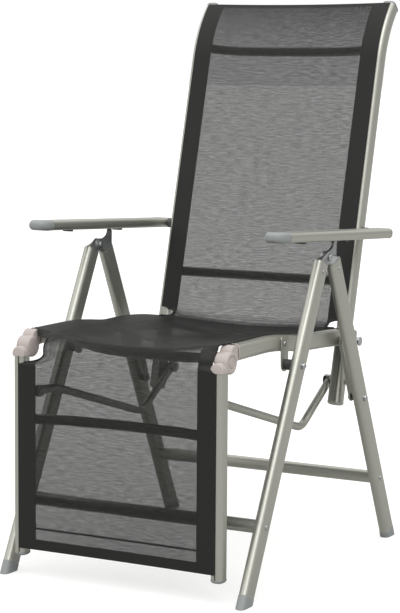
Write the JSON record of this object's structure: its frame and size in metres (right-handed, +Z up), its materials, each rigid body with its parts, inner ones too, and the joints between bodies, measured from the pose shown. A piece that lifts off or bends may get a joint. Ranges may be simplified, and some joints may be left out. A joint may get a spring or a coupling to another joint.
{
  "type": "folding reclining garden chair",
  "caption": "Folding reclining garden chair in aluminium tube with a mesh sling, notched armrests and a footrest linked to the back.",
  "frame": {"origin": "on the floor, in the middle of the open chair's box", "axes": "+Z up, the sitter faces -Y, the sitter's left is +X"},
  "size_m": [0.583, 0.7928, 1.1342],
  "materials": {
    "aluminium": "satin champagne-silver coating on round and oval tube",
    "casting": "satin grey casting",
    "steel": "bright zinc",
    "knuckle_plastic": "warm light grey moulding",
    "nose_plastic": "bluish grey moulding",
    "dark_plastic": "dark grey moulding",
    "fabric": "black open-weave coated mesh"
  },
  "bodies": {
    "front_legs": {"front_leg_left": "aluminium", "front_leg_right": "aluminium", "front_foot_cap_left": "nose_plastic", "front_foot_cap_right": "nose_plastic", "front_leg_bracket_left": "casting", "front_leg_bracket_right": "casting", "front_crossbar": "aluminium", "leg_hinge_bolt_left": "steel", "leg_hinge_bolt_right": "steel", "seat_pivot_bolt_left": "steel", "seat_pivot_bolt_right": "steel", "seat_pivot_spacer_left": "dark_plastic", "seat_pivot_spacer_right": "dark_plastic"},
    "rear_legs": {"rear_leg_left": "aluminium", "rear_leg_right": "aluminium", "rear_foot_cap_left": "nose_plastic", "rear_foot_cap_right": "nose_plastic", "rear_leg_bracket_left": "casting", "rear_leg_bracket_right": "casting", "rear_crossbar": "aluminium", "strut_bolt_left": "steel", "strut_bolt_right": "steel"},
    "strut_left": {"strut_left": "aluminium"},
    "strut_right": {"strut_right": "aluminium"},
    "seat": {"seat_rail_left": "aluminium", "seat_rail_right": "aluminium", "seat_strap_left": "aluminium", "seat_strap_right": "aluminium", "seat_knuckle_left": "knuckle_plastic", "seat_knuckle_right": "knuckle_plastic", "seat_front_stretcher": "aluminium", "seat_sling": "fabric"},
    "back_pivots": {"back_pivot_pin_left": "steel", "back_pivot_pin_right": "steel"},
    "back": {"back_rail_left": "aluminium", "back_rail_right": "aluminium", "back_upper_stretcher": "aluminium", "back_lower_stretcher": "aluminium", "back_sling": "fabric"},
    "knee_pins": {"knee_pin_left": "steel", "knee_pin_right": "steel"},
    "footrest": {"foot_rail_left": "aluminium", "foot_rail_right": "aluminium", "foot_knuckle_left": "knuckle_plastic", "foot_knuckle_right": "knuckle_plastic", "foot_upper_stretcher": "aluminium", "foot_lower_stretcher": "aluminium", "footrest_sling": "fabric"},
    "link_pin_left": {"link_pin_left": "steel"},
    "link_pin_right": {"link_pin_right": "steel"},
    "link_left": {"footrest_link_left": "aluminium"},
    "link_right": {"footrest_link_right": "aluminium"},
    "arm_bolt_left": {"arm_bolt_left": "steel"},
    "arm_bolt_right": {"arm_bolt_right": "steel"},
    "armrest_left": {"armrest_left": "aluminium", "armrest_nose_left": "nose_plastic", "armrest_rack_left": "dark_plastic"},
    "armrest_right": {"armrest_right": "aluminium", "armrest_nose_right": "nose_plastic", "armrest_rack_right": "dark_plastic"}
  },
  "joints": [
    {"name": "fold", "type": "hinge", "parent": "front_legs", "child": "rear_legs", "pos_m": [0, -0.02388, 0.627], "axis": [-1, 0, 0], "range_deg": [0, 51]},
    {"name": "seat_fold", "type": "hinge", "parent": "front_legs", "child": "seat", "pos_m": [0, -0.14576, 0.428], "axis": [-1, 0, 0], "range_deg": [0, 78.17]},
    {"name": "strut_left_fold", "type": "hinge", "parent": "rear_legs", "child": "strut_left", "pos_m": [0.246, 0.13978, 0.322], "axis": [-1, 0, 0], "range_deg": [0, 115.81]},
    {"name": "strut_right_fold", "type": "hinge", "parent": "rear_legs", "child": "strut_right", "pos_m": [-0.246, 0.13978, 0.322], "axis": [-1, 0, 0], "range_deg": [0, 115.81]},
    {"name": "back_fold", "type": "hinge", "parent": "seat", "child": "back_pivots", "pos_m": [0, 0.16212, 0.435], "axis": [-1, 0, 0], "range_deg": [-73, 0]},
    {"name": "recline", "type": "hinge", "parent": "back_pivots", "child": "back", "pos_m": [0, 0.16212, 0.435], "axis": [-1, 0, 0], "range_deg": [0, 50]},
    {"name": "knee_fold", "type": "hinge", "parent": "seat", "child": "knee_pins", "pos_m": [0, -0.35488, 0.458], "axis": [-1, 0, 0], "range_deg": [-73, 0]},
    {"name": "footrest_recline", "type": "hinge", "parent": "knee_pins", "child": "footrest", "pos_m": [0, -0.35488, 0.458], "axis": [-1, 0, 0], "range_deg": [0, 50]},
    {"name": "link_left_recline", "type": "hinge", "parent": "back", "child": "link_pin_left", "pos_m": [0.189, 0.15212, 0.35], "axis": [-1, 0, 0], "range_deg": [-50, 0]},
    {"name": "link_left_fold", "type": "hinge", "parent": "link_pin_left", "child": "link_left", "pos_m": [0.189, 0.15212, 0.35], "axis": [-1, 0, 0], "range_deg": [0, 73]},
    {"name": "armrest_left_fold", "type": "hinge", "parent": "back", "child": "arm_bolt_left", "pos_m": [0.2665, 0.22709, 0.65466], "axis": [-1, 0, 0], "range_deg": [0, 104]},
    {"name": "armrest_left_recline", "type": "hinge", "parent": "arm_bolt_left", "child": "armrest_left", "pos_m": [0.2665, 0.22709, 0.65466], "axis": [-1, 0, 0], "range_deg": [-31.1, 0]},
    {"name": "link_right_recline", "type": "hinge", "parent": "back", "child": "link_pin_right", "pos_m": [-0.189, 0.15212, 0.35], "axis": [-1, 0, 0], "range_deg": [-50, 0]},
    {"name": "link_right_fold", "type": "hinge", "parent": "link_pin_right", "child": "link_right", "pos_m": [-0.189, 0.15212, 0.35], "axis": [-1, 0, 0], "range_deg": [0, 73]},
    {"name": "armrest_right_fold", "type": "hinge", "parent": "back", "child": "arm_bolt_right", "pos_m": [-0.2665, 0.22709, 0.65466], "axis": [-1, 0, 0], "range_deg": [0, 104]},
    {"name": "armrest_right_recline", "type": "hinge", "parent": "arm_bolt_right", "child": "armrest_right", "pos_m": [-0.2665, 0.22709, 0.65466], "axis": [-1, 0, 0], "range_deg": [-31.1, 0]}
  ],
  "couplings": [
    {"joint": "seat_fold", "follows": "fold", "ratio": 1.5327},
    {"joint": "strut_left_fold", "follows": "fold", "ratio": 2.2708},
    {"joint": "strut_right_fold", "follows": "fold", "ratio": 2.2708},
    {"joint": "back_fold", "follows": "fold", "ratio": -1.4314},
    {"joint": "knee_fold", "follows": "fold", "ratio": -1.4314},
    {"joint": "footrest_recline", "follows": "recline", "ratio": 1},
    {"joint": "link_left_recline", "follows": "recline", "ratio": -1},
    {"joint": "link_left_fold", "follows": "fold", "ratio": 1.4314},
    {"joint": "armrest_left_fold", "follows": "fold", "ratio": 2.0392},
    {"joint": "armrest_left_recline", "follows": "recline", "ratio": -0.622},
    {"joint": "link_right_recline", "follows": "recline", "ratio": -1},
    {"joint": "link_right_fold", "follows": "fold", "ratio": 1.4314},
    {"joint": "armrest_right_fold", "follows": "fold", "ratio": 2.0392},
    {"joint": "armrest_right_recline", "follows": "recline", "ratio": -0.622}
  ]
}
